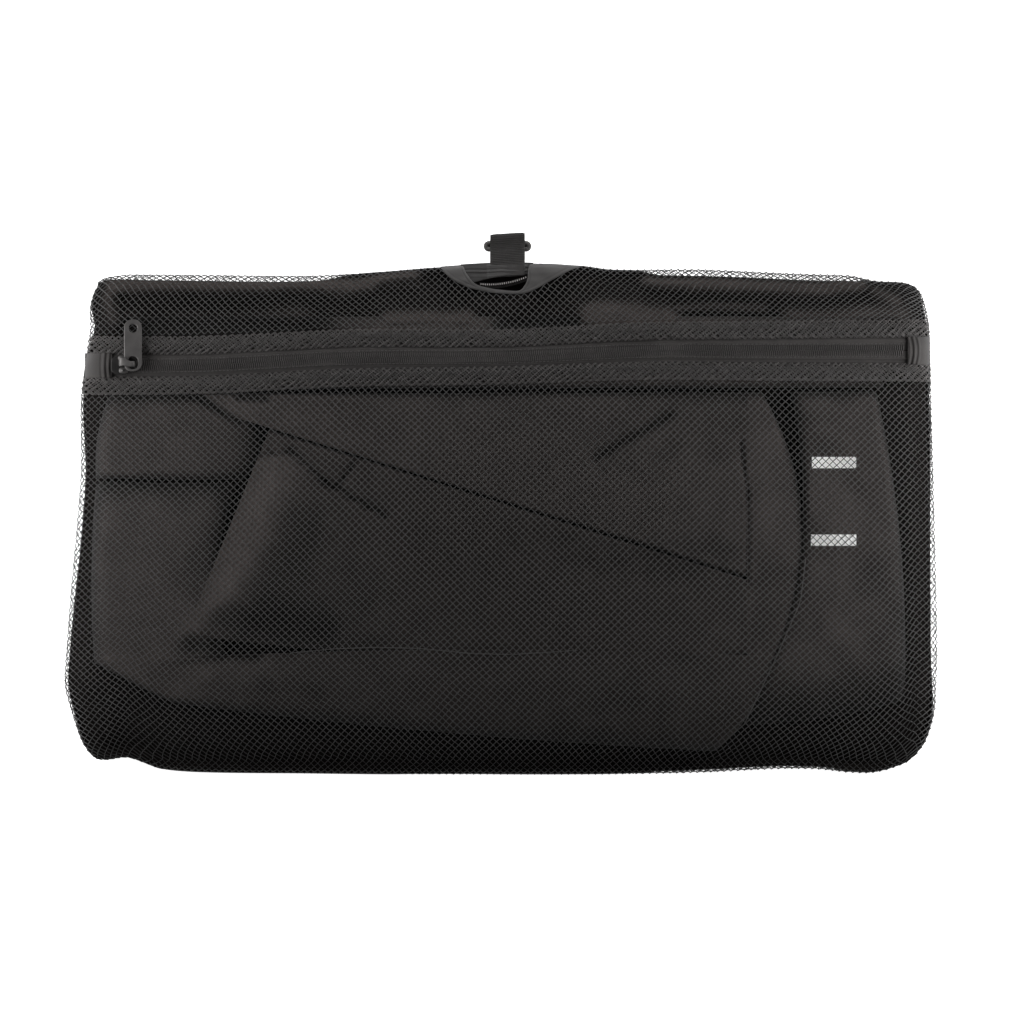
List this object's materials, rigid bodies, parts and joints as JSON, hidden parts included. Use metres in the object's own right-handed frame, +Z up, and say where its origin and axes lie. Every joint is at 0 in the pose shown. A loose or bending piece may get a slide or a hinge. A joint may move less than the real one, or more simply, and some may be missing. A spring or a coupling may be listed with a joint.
{
  "type": "zipped mesh bag packed with a folded cloth bundle",
  "caption": "Flat rectangular bag of black net with a zip across its front and a webbing loop at its top edge, packed with a folded dark cloth bundle.",
  "frame": {"origin": "under the middle of the whole part, on the surface that it lies on", "axes": "+X across the bag along its zip, +Y to its top edge with the strap, +Z up, away from the surface"},
  "size_m": [0.4997, 0.3102, 0.0438],
  "materials": {
    "net": "knitted black net",
    "zip_tape": "woven zip tape",
    "zip_coil": "nylon coil",
    "trim_cloth": "plain woven trim",
    "webbing": "ribbed webbing",
    "dark_metal": "dark satin plating",
    "bundle_cloth": "coated black woven cloth"
  },
  "bodies": {
    "bag": {"net_back": "net", "net_front": "net", "net_top": "net", "hem_lower": "net", "hem_upper": "net", "zip_tape_lower": "zip_tape", "zip_tape_upper": "zip_tape", "zip_coil": "zip_coil", "lip_coil": "zip_coil", "zip_tab_left": "trim_cloth", "zip_tab_right": "trim_cloth", "mouth_binding": "trim_cloth", "mouth_lip": "trim_cloth", "hang_strap": "webbing", "zip_slider": "dark_metal", "strap_ring": "dark_metal", "bundle_core": "bundle_cloth", "fold_head": "bundle_cloth", "fold_upper": "bundle_cloth", "fold_left": "bundle_cloth", "fold_side": "bundle_cloth", "fold_centre": "bundle_cloth", "fold_lower": "bundle_cloth", "fold_end": "bundle_cloth", "fold_right": "bundle_cloth"},
    "pull": {"zip_pull": "dark_metal"}
  },
  "joints": [
    {"name": "pull_swing", "type": "hinge", "parent": "bag", "child": "pull", "pos_m": [-0.2145, 0.07978, 0.04074], "axis": [0, -0.9877, 0.1564], "range_deg": [0, 170]}
  ]
}
